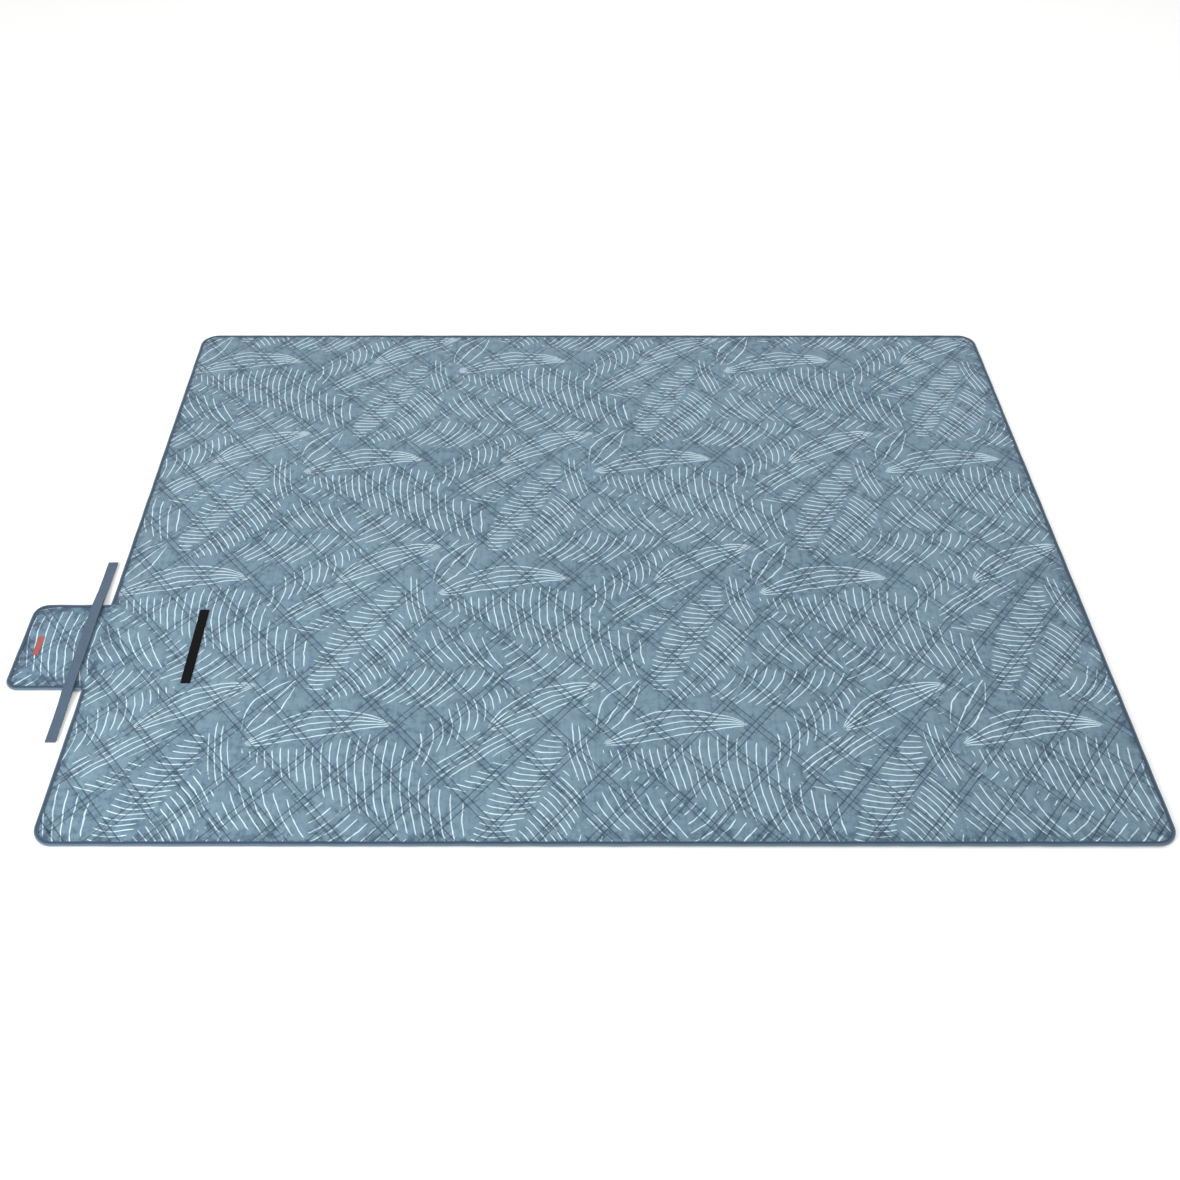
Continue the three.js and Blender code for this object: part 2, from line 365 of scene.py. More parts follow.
def gathers(x, y):
    """The star of small folds round each bar tack: their height, and how much it is held."""
    height, held = 0, 0
    for number, place in enumerate(tack_places):
        dx, dy = x - place.x, y - place.y
        away = np.hypot(dx, dy)
        turn = np.arctan2(dy, dx)
        folds = np.cos(7 * turn + number) + 0.6 * np.cos(11 * turn + 2 * number)
        height = height + folds * soft_step(away, 3 * MM, 12 * MM) * np.exp(-away / (17 * MM))
        held = held + np.exp(-((away / (9 * MM)) ** 2))
    return height, np.clip(held, 0, 1)


# %% Height of the face
CROWN_Z = FACE_Z + 1.5 * MM
STITCH_Z = FACE_Z - 1.0 * MM
PRESSED_Z = FACE_Z - 0.25 * MM
FOLD_LINES_X = (-0.5, 0.0, 0.5)
fold_lines_y = [axis_point[name].y for name in CREASES]


def fold_marks(x, y):
    """Shallow dents where the blanket has been folded."""
    dents = 0
    for places, value in ((FOLD_LINES_X, x), (fold_lines_y, y)):
        for place in places:
            dents = dents + np.exp(-(((value - place) / (4 * MM)) ** 2))
    return dents


def face_height(x, y):
    """The height of the quilt's printed face."""
    inset = inset_of(x, y, QUILT_BOX, QUILT_RADIUS)
    free = soft_step(inset, TAPE_WIDTH - 1 * MM, TAPE_WIDTH + 17 * MM)
    height = STITCH_Z + (CROWN_Z - STITCH_Z) * pillows(x, y)
    height = height + 0.30 * MM * ripples(x, y, 0.34, 5) + 0.22 * MM * ripples(x, y, 0.055, 8)
    height = height - 0.55 * MM * fold_marks(x, y)
    pucker = np.exp(-(((inset - TAPE_WIDTH - 9 * MM) / (12 * MM)) ** 2))
    height = PRESSED_Z + (height - PRESSED_Z) * free
    height = height + 0.55 * MM * pucker * ripples(x, y, 0.040, 3)
    star, tacked = gathers(x, y)
    height = height + 1.5 * MM * star * free
    held = np.maximum(tacked, held_by(x, y, "hook_tape"))
    return height + (PRESSED_Z - height) * held


FLAP_QUILT_SHIFT = (21 * MM, -13 * MM)  # its quilting doesn't run on from the blanket's
ROOT_REACH = 14 * MM  # over which the flap's layers part from the seam at its root


def face_height_of_flap(x, y):
    inset = inset_of(x, y, FLAP_BOX, FLAP_RADIUS)
    rooted = soft_step(LEFT - x, 0, ROOT_REACH)
    free = soft_step(inset, TAPE_WIDTH - 1 * MM, TAPE_WIDTH + 13 * MM) * rooted
    shift_x, shift_y = FLAP_QUILT_SHIFT
    height = STITCH_Z + (CROWN_Z - STITCH_Z) * pillows(x + shift_x, y + shift_y)
    height = height + 0.35 * MM * ripples(x, y, 0.050, 4)
    pucker = np.exp(-(((inset - TAPE_WIDTH - 8 * MM) / (9 * MM)) ** 2)) * rooted
    height = PRESSED_Z + (height - PRESSED_Z) * free + 0.7 * MM * pucker * ripples(x, y, 0.03, 6)
    held = np.maximum(held_by(x, y, "flap_label", 5 * MM), held_by(x, y, "handle_strap", 8 * MM))
    return height + (PRESSED_Z - height) * held


# %% [markdown]
# The backing is sewn along the same lines, so it is dented where the face is, but the ground
# presses it flat between them. At the edge it steps up over the binding's lower flange.

# %% Heights of the backing
STEP_UP = 1.5 * MM
BACKING_DENT = 1.0 * MM


def backing_height_inside(x, y, inset):
    """The backing's underside: on the ground, dented at the stitches, up over the flange."""
    dents = BACKING_DENT * (1 - soft_step(pillows(x, y), 0.0, 0.5))
    middle = 0.1 * MM + dents * soft_step(inset, TAPE_WIDTH + 4 * MM, TAPE_WIDTH + 18 * MM)
    on_tape = 1 - soft_step(inset, TAPE_WIDTH - 1.5 * MM, TAPE_WIDTH + 3 * MM)
    return middle + (STEP_UP - middle) * on_tape


def backing_height(x, y):
    return backing_height_inside(x, y, inset_of(x, y, QUILT_BOX, QUILT_RADIUS))


def backing_height_of_flap(x, y):
    inset = inset_of(x, y, FLAP_BOX, FLAP_RADIUS)
    root = 1 - soft_step(LEFT - x, 0, ROOT_REACH)
    height = backing_height_inside(x, y, inset)
    return height + (STEP_UP - height) * root


print("face from", round(STITCH_Z / MM, 1), "to", round(CROWN_Z / MM, 1), "mm")

# %% [markdown]
# ## From a grid to cloth
#
# A sheet starts as a flat grid of points. Near a round corner the grid's columns are squeezed
# inwards, so its edge follows the curve and no corner of cloth sticks out. The flat places become
# the cloth's UV map, in metres, so print, weave and stitches stay with the cloth when it folds.

# %% Grids
def span(start, end, step):
    return np.linspace(start, end, max(2, round((end - start) / step) + 1))


# Where the quilt bends: the crease, and half the width of its band. A real fold takes its length
# from the cloth beside it. Here the cloth in the band stretches instead, several times over. A
# narrow band keeps the folded layers close together, at the price of more stretch in less cloth.
BAND_SHARE = 0.42  # of the height of the crease's axis
BAND_ROWS = 21
BANDS = {name: (axis_point[name].y, BAND_SHARE * axis_point[name].z) for name in CREASES}


def creased(y0, y1, step):
    """Places from one Y to another, close together in the bands where the quilt bends."""
    rows = span(y0, y1, step)
    for place, half in BANDS.values():
        if y0 < place < y1:
            band = place + np.linspace(-1.2, 1.2, BAND_ROWS) * half
            rows = np.sort(np.concatenate([rows[np.abs(rows - place) > 1.3 * half], band]))
    return rows


SQUEEZE_REACH = 120 * MM


def squeezed(x, y, box, radius, ends):
    """Moves the end of each row inwards, to where the rounded outline is."""
    x0, x1, y0, y1 = box
    over = np.maximum(np.abs(y - (y0 + y1) / 2) - ((y1 - y0) / 2 - radius), 0)
    shrink = radius - np.sqrt(np.maximum(radius**2 - over**2, 0))
    reach = min(SQUEEZE_REACH, (x1 - x0) / 2)
    left = np.clip(1 - (x - x0) / reach, 0, 1) if "left" in ends else 0
    right = np.clip(1 - (x1 - x) / reach, 0, 1) if "right" in ends else 0
    return x + shrink * (left - right)


def inset_box(box, inset):
    x0, x1, y0, y1 = box
    return (x0 + inset, x1 - inset, y0 + inset, y1 - inset)


def quilt_grid(y0, y1, inset, step):
    """Points of the quilt between two values of Y."""
    box = inset_box(QUILT_BOX, inset)
    columns = span(box[0], box[1], step)
    rows = creased(max(y0, box[2]), min(y1, box[3]), step)
    x, y = np.meshgrid(columns, rows)
    return squeezed(x, y, box, QUILT_RADIUS - inset, ("left", "right")), y


def flap_grid(inset, step, root):
    box = inset_box(FLAP_BOX, inset)
    x, y = np.meshgrid(span(box[0], root, step), span(box[2], box[3], step))
    return squeezed(x, y, (box[0], root, box[2], box[3]), FLAP_RADIUS - inset, ("left",)), y


# %% Meshes
def new_piece(name, points, faces):
    mesh = bpy.data.meshes.new(name)
    mesh.from_pydata(points.tolist(), [], faces)
    mesh.update()
    piece = bpy.data.objects.new(name, mesh)
    bpy.context.scene.collection.objects.link(piece)
    return piece


def quads(rows, columns, start=0, wrap=False):
    """The faces of a grid of points, as corner numbers, facing up."""
    i, j = np.meshgrid(np.arange(rows - 1), np.arange(columns if wrap else columns - 1),
                       indexing="ij")
    i, j = i.ravel(), j.ravel()
    nxt = (j + 1) % columns
    corners = [i * columns + j, i * columns + nxt, (i + 1) * columns + nxt, (i + 1) * columns + j]
    return (np.stack(corners, axis=1) + start).tolist()


def set_flat(piece, u, v):
    """Writes the flat coordinates of each point as the piece's UV map."""
    layer = piece.data.uv_layers.new(name="flat")
    at = np.zeros(len(piece.data.loops), np.int32)
    piece.data.loops.foreach_get("vertex_index", at)
    uv = np.stack([np.ravel(u)[at], np.ravel(v)[at]], axis=1)
    layer.data.foreach_set("uv", uv.astype(np.float32).ravel())


def set_attribute(piece, name, values):
    layer = piece.data.attributes.new(name, "FLOAT", "POINT")
    layer.data.foreach_set("value", values.astype(np.float32).ravel())


def smooth(piece):
    piece.data.polygons.foreach_set("use_smooth", [True] * len(piece.data.polygons))
    piece.data.update()


# %% Sheets
def sheet_piece(name, x, y, height, facing=1):
    """A single layer of cloth over a grid, with normals taken from the height itself.

    Two sheets that meet then shade alike at the join, which a mesh's own normals don't do."""
    points = np.stack([x, y, height(x, y)], axis=-1).reshape(-1, 3)
    faces = quads(*x.shape)
    if facing < 0:
        faces = [face[::-1] for face in faces]
    piece = new_piece(name, points, faces)
    smooth(piece)
    little = 0.5 * MM
    rise_x = (height(x + little, y) - height(x - little, y)) / (2 * little)
    rise_y = (height(x, y + little) - height(x, y - little)) / (2 * little)
    normals = np.stack([-rise_x, -rise_y, np.ones_like(x)], axis=-1).reshape(-1, 3) * facing
    normals /= np.linalg.norm(normals, axis=1)[:, None]
    piece.data.normals_split_custom_set_from_vertices(normals.tolist())
    set_flat(piece, x, y)
    return piece


# %% [markdown]
# ## The print
#
# Pale leaves drawn in single strokes cover the cloth. Broad leaves and feathers lie underneath,
# then ferns, and long blades, bundles of lines and open leaves on top. The drawing repeats along
# the cloth, and each row of repeats is shifted by half, as on any printed fabric.
#
# A stroke could be a curve laid on the cloth, but there are thousands. Here each leaf is a rule
# that numbers its strokes: every point of the cloth gets a stroke number that rises steadily from
# one stroke to the next, the distance between strokes, and the room left to the leaf's edge. The
# shader then inks the points whose number is nearly whole, so a line stays sharp at any distance.

# %% Leaves
PRINT_REPEAT = 0.667
PRINT_ROW = 0.377

# kind, foot in the repeat (x, y), heading in degrees, length, width, bow
LEAVES = [
    ("broad", (0.08, -0.390), 153, 0.50, 0.34, 0.03),
    ("broad", (-0.185, -0.362), 178, 0.35, 0.22, -0.02),
    ("feather", (0.000, -0.220), 34, 0.31, 0.22, -0.03),
    ("fern", (0.120, -0.430), 60, 0.37, 0.17, -0.03),
    ("bundle", (-0.310, -0.612), 33, 0.36, 0.070, 0.03),
    ("blade", (-0.215, -0.505), 26, 0.25, 0.075, 0.06),
    ("blade", (0.000, -0.540), 9, 0.29, 0.080, 0.10),
    ("open", (-0.005, -0.515), 57, 0.160, 0.066, 0.03),
    ("bundle", (-0.018, -0.635), 101, 0.16, 0.045, 0.05),
]


def veins(u, v, half, lean, curl, pitch):
    """Strokes on both sides of a midrib. They lean by a slope on each side, and curl."""
    away = np.abs(v)
    slope = np.where(v > 0, *lean)
    curve = curl * half * np.sin(np.pi * away / half) * np.where(v > 0, 1, -0.6)
    return (u - slope * away + curve) / pitch, np.minimum(half - away, away + 2 * MM)


# %% Strokes of each kind of leaf
def broad(u, v, half, length):
    return veins(u, v, half, (0.75, 0.62), 0.16, 19 * MM)


def feather(u, v, half, length):
    return veins(u, v, half, (0.75, 0.85), -0.18, 18 * MM)


def fern(u, v, half, length):
    return veins(u, v, half, (-0.50, -0.45), 0.10, 13.5 * MM)


def bundle(u, v, half, length):
    ends = np.minimum(u, length - u)
    return v / (12 * MM) + 0.5, np.minimum(half - np.abs(v) + 8 * MM, 0.5 * ends)


def blade(u, v, half, length):
    return 2.7 * v / half, (half - np.abs(v)) * 4 + 2 * MM


def open_leaf(u, v, half, length):
    return v / (0.82 * half), (half - np.abs(v)) * 3.5


# The strokes, and how full the outline is towards its ends: a low number is fuller.
LEAF_KINDS = {
    "broad": (broad, 0.5), "feather": (feather, 0.5), "fern": (fern, 0.5),
    "bundle": (bundle, 0.25), "blade": (blade, 0.9), "open": (open_leaf, 0.9),
}


# %% The print over the whole cloth
def print_of(x, y):
    """Stroke number, distance between strokes and room to the leaf's edge at each point."""
    x, y = x.ravel(), y.ravel()
    number, pitch, room = np.zeros_like(x), np.full_like(x, 0.02), np.full_like(x, -1.0)
    rows = range(math.floor(y.min() / PRINT_ROW) - 2, math.ceil(y.max() / PRINT_ROW) + 2)
    columns = range(math.floor(x.min() / PRINT_REPEAT) - 2, math.ceil(x.max() / PRINT_REPEAT) + 2)
    for order, leaf in enumerate(LEAVES):
        for row in rows:
            for column in columns:
                origin = ((column + 0.5 * (row % 2)) * PRINT_REPEAT, row * PRINT_ROW)
                draw_leaf(leaf, order, origin, x, y, number, pitch, room)
    return number, pitch, room


def draw_leaf(leaf, order, origin, x, y, number, pitch, room):
    """Lays one leaf over what is drawn already, with a clear margin round it."""
    kind, foot, heading, length, width, bow = leaf
    strokes, fullness = LEAF_KINDS[kind]
    ax, ay = math.cos(math.radians(heading)), math.sin(math.radians(heading))
    dx, dy = x - origin[0] - foot[0], y - origin[1] - foot[1]
    reach = 0.62 * length
    at = np.flatnonzero((np.abs(dx - length / 2 * ax) < reach)
                        & (np.abs(dy - length / 2 * ay) < reach))
    if not len(at):
        return

    def outline(u):
        share = np.clip(u / length, 0, 1)
        half = width / 2 * np.sin(np.pi * share**0.85) ** fullness
        return 4 * bow * length * share * (1 - share), np.maximum(half, 0.1 * MM)

    def drawn(u, across):
        middle, half = outline(u)
        return strokes(u, across - middle, half, length)

    u, across = dx[at] * ax + dy[at] * ay, dy[at] * ax - dx[at] * ay
    middle, half = outline(u)
    ends = np.minimum(u, length - u)
    edge = np.minimum(half - np.abs(across - middle), ends)
    inside = edge > 0
    room[at] = np.minimum(room[at], np.where(inside, 1.0, -edge - 1 * MM))
    at, u, across, ends = at[inside], u[inside], across[inside], ends[inside]
    phase, free = drawn(u, across)
    little = 0.2 * MM
    steepness = np.hypot(drawn(u + little, across)[0] - phase, drawn(u, across + little)[0] - phase)
    number[at] = phase + 200 * (order + 1)
    pitch[at] = np.clip(little / np.maximum(steepness, 1e-6), 0, 20 * MM)
    room[at] = np.minimum(free, 1.5 * ends)


def mark_cover(piece, x, y, box, radius, shift=(0, 0)):
    """Writes what the printed finish reads: the distance in from the edge, and the print."""
    set_attribute(piece, "inset", inset_of(x, y, box, radius))
    names = ("stroke_number", "stroke_pitch", "stroke_room")
    for name, values in zip(names, print_of(x + shift[0], y + shift[1])):
        set_attribute(piece, name, values)


print(len(LEAVES), "leaves in a repeat of", PRINT_REPEAT, "by", PRINT_ROW, "m")

# %% [markdown]
# ## The printed cover's finish
#
# The cover is a fine polyester with a dry, silky surface. Its own colour is uneven at two scales:
# slow patches and the weave, and its small crumples and long wrinkles get painted shade. The ink is
# a little glossier than the cloth. The stitches are darker than the cloth because they sit deep, so
# a soft painted shade follows each line too. Painted shade also darkens the puckers beside each
# line and the gathers near the bound edge.

# %% Stitch lines in a finish
def stitch_lines(u, v, slant):
    """Distance from the nearest stitch line of one family, and the place along it, in metres."""
    across = u * math.sin(slant) + v * math.cos(slant)
    off_middle = (across / STITCH_PITCH).math("FRACT") * STITCH_PITCH - STITCH_PITCH / 2
    distance = (off_middle.math("ABSOLUTE") - NEEDLE_GAP / 2).math("ABSOLUTE")
    along = u * math.cos(slant) - v * math.sin(slant)
    return distance, along


def stitches(distance, along, length=3.6 * MM, width=0.9 * MM):
    """1 on a thread: short dashes along the line."""
    dash = along.from_line(length).step(0.42, 0.34)
    return distance.step(width, width * 0.4) * dash


# %% The cover's finish
CLOTH_BLUE = colour(113, 140, 156)
# The cloth's darker tone, used for its slow patches and for the painted shade on its crumples and
# long wrinkles.
CLOTH_DEEP = colour(68, 98, 118)
INK = colour(204, 227, 237)
# The dark blue of the stitch thread, and also of the painted shade along the stitch lines, on the
# puckers and in the edge gathers.
STITCH_AND_SHADE_BLUE = colour(30, 56, 79)


def inked(finish, uv):
    """1 on the print's strokes. A stroke starts and ends a little short of its leaf's edge, each
    by its own amount, and thins towards its ends."""
    number, pitch = finish.attribute("stroke_number"), finish.attribute("stroke_pitch")
    hand = finish.noise(uv, 14, 2) * 0.55 + finish.noise(uv, 55, 1) * 0.16 - 0.36
    steady = number + hand
    nearest = (steady + 0.5).math("FLOOR")
    off_stroke = (steady - nearest).math("ABSOLUTE") * pitch
    by_chance = finish.node("ShaderNodeTexWhiteNoise", {"noise_dimensions": "1D"}, W=nearest)
    room = finish.attribute("stroke_room") - by_chance * by_chance * 8 * MM - 4.5 * MM
    pressure = room.step(-1 * MM, 7 * MM) * 0.45 + 0.55
    half_width = (finish.noise(uv, 40, 1) * 0.7 * MM + 0.68 * MM) * pressure
    half_width = half_width.math("MINIMUM", pitch * 0.24)
    stroke = (off_stroke - half_width).step(0.3 * MM, -0.3 * MM)
    return stroke * room.step(0, 1.2 * MM) * pitch.step(0.6 * MM, 2.4 * MM)


def cover_finish(name, cloth, deep, gather_shade_strength):
    finish = Finish(name)
    uv, u, v = finish.flat()
    ink = inked(finish, uv)
    lines = [stitch_lines(u, v, slant) for slant in (STITCH_SLANT, -STITCH_SLANT)]
    groove = lines[0][0].step(2.2 * MM, 0) + lines[1][0].step(2.2 * MM, 0)
    thread = stitches(*lines[0]).math("MAXIMUM", stitches(*lines[1]))
    puckers = puckers_at(finish, uv, lines)
    edge = finish.attribute("inset").step(TAPE_WIDTH + 34 * MM, TAPE_WIDTH + 2 * MM)
    gathers_shade = edge * finish.noise(uv, 46, 3).step(0.44, 0.60) * gather_shade_strength

    patches = finish.noise(uv, 3.2, 3).step(0.3, 0.7)
    crumple = finish.noise(uv, 60, 4, 0.6)
    grain = finish.noise(uv, 420, 2, 0.7)
    long_wrinkles = finish.noise(finish.stretched(uv, 0, (120, 16, 1)), 1, 3).step(0.45, 0.75)
    rumpled = patches * crumple.step(0.50, 0.66)
    # Painted shade: the crumples, the rumpled patches and the long wrinkle streaks darken the
    # cloth. The slow patches and the grain are its own uneven colour.
    tone = patches * 0.25 + crumple.step(0.38, 0.68) * 0.35 + long_wrinkles * 0.35 + rumpled * 0.35
    base = finish.mix(tone * 0.85 + grain * 0.55 - 0.25, cloth, deep)
    base = finish.mix(ink * 0.92, base, INK)
    # Painted shade: in the groove along each stitch line, on the puckers beside it, and in blotches
    # where the cloth gathers near the bound edge.
    shade = groove * 0.48 + puckers * 0.48 + gathers_shade
    base = finish.mix(shade.math("MINIMUM", 0.75), base, STITCH_AND_SHADE_BLUE)
    base = finish.mix(thread * 0.7, base, STITCH_AND_SHADE_BLUE)

    relief = crumple * 0.8 + weave_height(u, v, 0.8 * MM) * 0.08 + ink * 0.05 - long_wrinkles * 0.2
    relief = relief - thread * 0.25 - groove * 0.25 - puckers * 0.45 - gathers_shade * 0.6
    return finish.surface(
        Base_Color=base,
        Roughness=0.62 + crumple * 0.18 - ink * 0.12,
        Normal=finish.bump(relief, 1.3 * MM, 0.9),
        Sheen_Weight=0.18, Sheen_Roughness=0.45, Specular_IOR_Level=0.35,
    )


def weave_height(u, v, size):
    """A plain weave: threads that rise and fall in turn."""
    return (u * (math.tau / size)).math("SINE") * (v * (math.tau / size)).math("SINE")


def puckers_at(finish, uv, lines):
    """The small wrinkles that the thread's pull leaves beside each stitch line."""
    total = None
    for (distance, _), degrees in zip(lines, (48.5, -48.5)):
        wrinkles = finish.noise(finish.stretched(uv, degrees, (150, 30, 1)), 1, 2)
        here = wrinkles.step(0.50, 0.66) * distance.step(16 * MM, 1 * MM)
        total = here if total is None else total + here
    return total


# The last number sets how strong the painted shade in the edge gathers is.
cover_cloth = cover_finish("printed_cover", CLOTH_BLUE, CLOTH_DEEP, 0.5)
flap_cloth = cover_finish("printed_flap_cover", colour(108, 135, 153), colour(62, 92, 116), 1.0)
print("cover finish has", len(cover_cloth.node_tree.nodes), "nodes")

# %% [markdown]
# ## The cover
#
# The cover is one cloth, but the folding mechanism bends it at four creases, and a bending piece
# can follow only one joint. So it is made in four lengths that meet halfway between creases, where
# nothing bends. The grid's rows lie close together in the band round each crease, for a round fold.

# %% The four lengths of the quilt
halfway = [(a + b) / 2 for a, b in zip(fold_lines_y, fold_lines_y[1:])]
CUTS = [NEAR, *halfway, FAR]
LENGTHS = []
for number, part in enumerate(("near", "second", "third", "far")):
    panels = (number + 1, number + 2)
    LENGTHS.append({
        "part": part, "joint": CREASES[number], "nodes": panels,
        "bodies": tuple(f"panel_{panel}" for panel in panels), "y": tuple(CUTS[number:number + 2]),
    })


def fold_with(piece):
    """Bakes the piece's place into its mesh."""
    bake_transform(piece)


def width_of(length):
    return length["y"][1] - length["y"][0]


def dress(piece, material, slot, *nodes):
    """Gives a piece its finish, and hides the CAD nodes that it stands for. The slot is not used.
    """
    piece.data.materials.append(material)
    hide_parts(*nodes)


# %% Making the cover
COVER_STEP = 3.2 * MM
COVER_INSET = 1.3 * MM
for length in LENGTHS:
    x, y = quilt_grid(*length["y"], COVER_INSET, COVER_STEP)
    cover = sheet_piece(f"cover_{length['part']}", x, y, face_height)
    mark_cover(cover, x, y, QUILT_BOX, QUILT_RADIUS)
    fold_with(cover)
    dress(cover, cover_cloth, "cover", *[f"cover_{n}" for n in length["nodes"]])
    length["cover"] = cover
    print(cover.name, len(cover.data.polygons) * 2, "triangles")

# %% [markdown]
# ## The wadding
#
# The wadding is the soft white layer that makes the quilt thick. It is never seen, so it only has
# to fill the space between the cloths and stay inside them: a thin closed pad over a coarse grid.
# A crease presses it thin. Its rows lie close together there, as the cloths' do.

# %% Wadding
WADDING_STEP = 14 * MM
CREASE_PINCH = 0.4 * MM  # on each side of the wadding
CREASE_REACH = 24 * MM
WADDING_INSET = TAPE_WIDTH + 3 * MM
WADDING_TOP = STITCH_Z - 1.0 * MM
WADDING_BOTTOM = STEP_UP + 0.5 * MM


def wadding_finish():
    finish = Finish("wadding_fibre")
    place = finish.place()
    fibres = finish.noise(place, 220, 4, 0.7)
    return finish.surface(
        Base_Color=finish.mix(fibres, colour(226, 228, 230), colour(240, 241, 242)),
        Roughness=0.9, Normal=finish.bump(fibres, 0.6 * MM), Sheen_Weight=0.3,
    )


def pad_piece(name, x, y, top, bottom):
    """A closed pad: a top and a bottom grid, joined round their edge."""
    rows, columns = x.shape
    loft = 0.12 * MM * ripples(x, y, 0.08, 9)
    pinch = 0
    for place in fold_lines_y:
        pinch = pinch + CREASE_PINCH * np.exp(-(((y - place) / CREASE_REACH) ** 4))
    upper = np.stack([x, y, top + loft - pinch], axis=-1).reshape(-1, 3)
    lower = np.stack([x, y, bottom + loft + pinch], axis=-1).reshape(-1, 3)
    start = rows * columns
    faces = quads(rows, columns) + [f[::-1] for f in quads(rows, columns, start)]
    grid = np.arange(start).reshape(rows, columns)
    rim = [*grid[0, :-1], *grid[:-1, -1], *grid[-1, :0:-1], *grid[:0:-1, 0]]
    for a, b in zip(rim, rim[1:] + rim[:1]):
        faces.append([int(b), int(a), int(a) + start, int(b) + start])
    piece = new_piece(name, np.concatenate([upper, lower]), faces)
    smooth(piece)
    return piece


fibre = wadding_finish()
for length in LENGTHS:
    x, y = quilt_grid(*length["y"], WADDING_INSET, WADDING_STEP)
    wadding = pad_piece(f"wadding_{length['part']}", x, y, WADDING_TOP, WADDING_BOTTOM)
    fold_with(wadding)
    dress(wadding, fibre, "wadding", *[f"wadding_{n}" for n in length["nodes"]])
    size = (2 * RIGHT - 2 * WADDING_INSET, float(y.max() - y.min()))
    length["wadding"] = wadding
print("wadding from", round(WADDING_BOTTOM / MM, 1), "to", round(WADDING_TOP / MM, 1), "mm")

# %% [markdown]
# ## The backing
#
# The underside is a coated cloth that keeps damp out. It shows when the blanket is folded or
# turned over, so it has the stitches, a slight gloss from its coating, and scuffs from the ground.

# %% Backing finish
COATED = colour(62, 73, 85)
COATED_WORN = colour(84, 96, 108)


def backing_finish():
    finish = Finish("coated_backing")
    uv, u, v = finish.flat()
    lines = [stitch_lines(u, v, slant) for slant in (STITCH_SLANT, -STITCH_SLANT)]
    thread = stitches(*lines[0]).math("MAXIMUM", stitches(*lines[1]))
    puckers = puckers_at(finish, uv, lines)
    scuffs = finish.noise(uv, 18, 5, 0.7).step(0.52, 0.75)
    crumple = finish.noise(uv, 45, 4, 0.6)
    base = finish.mix(scuffs * 0.5 + crumple * 0.2, COATED, COATED_WORN)
    base = finish.mix(thread * 0.8, base, colour(36, 46, 58))
    relief = crumple * 0.8 - thread * 0.3 - puckers * 0.4 + weave_height(u, v, 1.1 * MM) * 0.06
    return finish.surface(
        Base_Color=base, Roughness=0.62 + scuffs * 0.2,
        Normal=finish.bump(relief, 1.0 * MM, 0.7), Specular_IOR_Level=0.3,
    )


coated = backing_finish()

# %% Backing pieces
BACKING_STEP = 6 * MM
for length in LENGTHS:
    x, y = quilt_grid(*length["y"], COVER_INSET, BACKING_STEP)
    backing = sheet_piece(f"backing_{length['part']}", x, y, backing_height, facing=-1)
    fold_with(backing)
    dress(backing, coated, "backing", *[f"backing_{n}" for n in length["nodes"]])
    length["backing"] = backing
    print(backing.name, len(backing.data.polygons) * 2, "triangles")

# %% [markdown]
# ## The binding
#
# The raw edge is hidden by a woven tape, folded over it and sewn through. On the real blanket it
# is one long strip. It is made here as a strip too: a folded cross-section is carried along the
# blanket's outline, so the fold stays round at the corners. The edge isn't quite even, as the
# sewing pulls it, so the strip wavers slightly.

# %% A route with round corners
def rounded_route(corners, radius, step):
    """Points along a line through the corners, with the inner corners rounded."""
    points = [np.array(corners[0], float)]
    for before, corner, after in zip(corners, corners[1:], corners[2:]):
        before, corner, after = (np.array(p, float) for p in (before, corner, after))
        come = (corner - before) / np.linalg.norm(corner - before)
        go = (after - corner) / np.linalg.norm(after - corner)
        middle = corner - come * radius + go * radius
        start, end = corner - come * radius, corner + go * radius
        points += straight(points[-1], start, step)
        for turn in np.linspace(0, math.pi / 2, 13)[1:]:
            points.append(middle - go * radius * math.cos(turn) + come * radius * math.sin(turn))
        points[-1] = end
    points += straight(points[-1], np.array(corners[-1], float), step)
    return np.array(points)


def straight(start, end, step):
    """Points of a straight run after its start. A run along Y is closer at the creases."""
    reach = end - start
    if abs(reach[1]) > abs(reach[0]):
        rows = creased(min(start[1], end[1]), max(start[1], end[1]), step)
        shares = np.sort(np.abs(rows - start[1]) / abs(reach[1]))[1:]
    else:
        shares = span(0, 1, step / float(np.linalg.norm(reach)))[1:]
    return [start + reach * share for share in shares]


# %% A cross-section carried along a line
def distance_along(line):
    """How far each point of a line lies from its start, along the line."""
    return np.concatenate([[0], np.cumsum(np.linalg.norm(np.diff(line, axis=0), axis=1))])


def face_outwards(piece):
    """Turns all faces of a closed mesh outwards and smooths it where it is round."""
    deselect()
    piece.select_set(True)
    bpy.context.view_layer.objects.active = piece
    bpy.ops.object.mode_set(mode="EDIT")
    bpy.ops.mesh.select_all(action="SELECT")
    bpy.ops.mesh.normals_make_consistent(inside=False)
    bpy.ops.object.mode_set(mode="OBJECT")
    bpy.ops.object.shade_smooth_by_angle(angle=math.radians(50))


def carried_piece(name, points, line, across):
    """A closed piece from rows of points, one cross-section for each point of a line."""
    rows, columns = points.shape[:2]
    faces = quads(rows, columns, wrap=True)
    faces.append(list(range(columns)))
    faces.append(list(range((rows - 1) * columns, rows * columns))[::-1])
    piece = new_piece(name, points.reshape(-1, 3), faces)
    face_outwards(piece)
    u, v = np.broadcast_arrays(distance_along(line)[:, None], across[None, :])
    set_flat(piece, u, v)
    return piece


# %% The tape's cross-section
TAPE_THICK = 0.8 * MM
FOLD_RADIUS = TAPE_TOP / 2


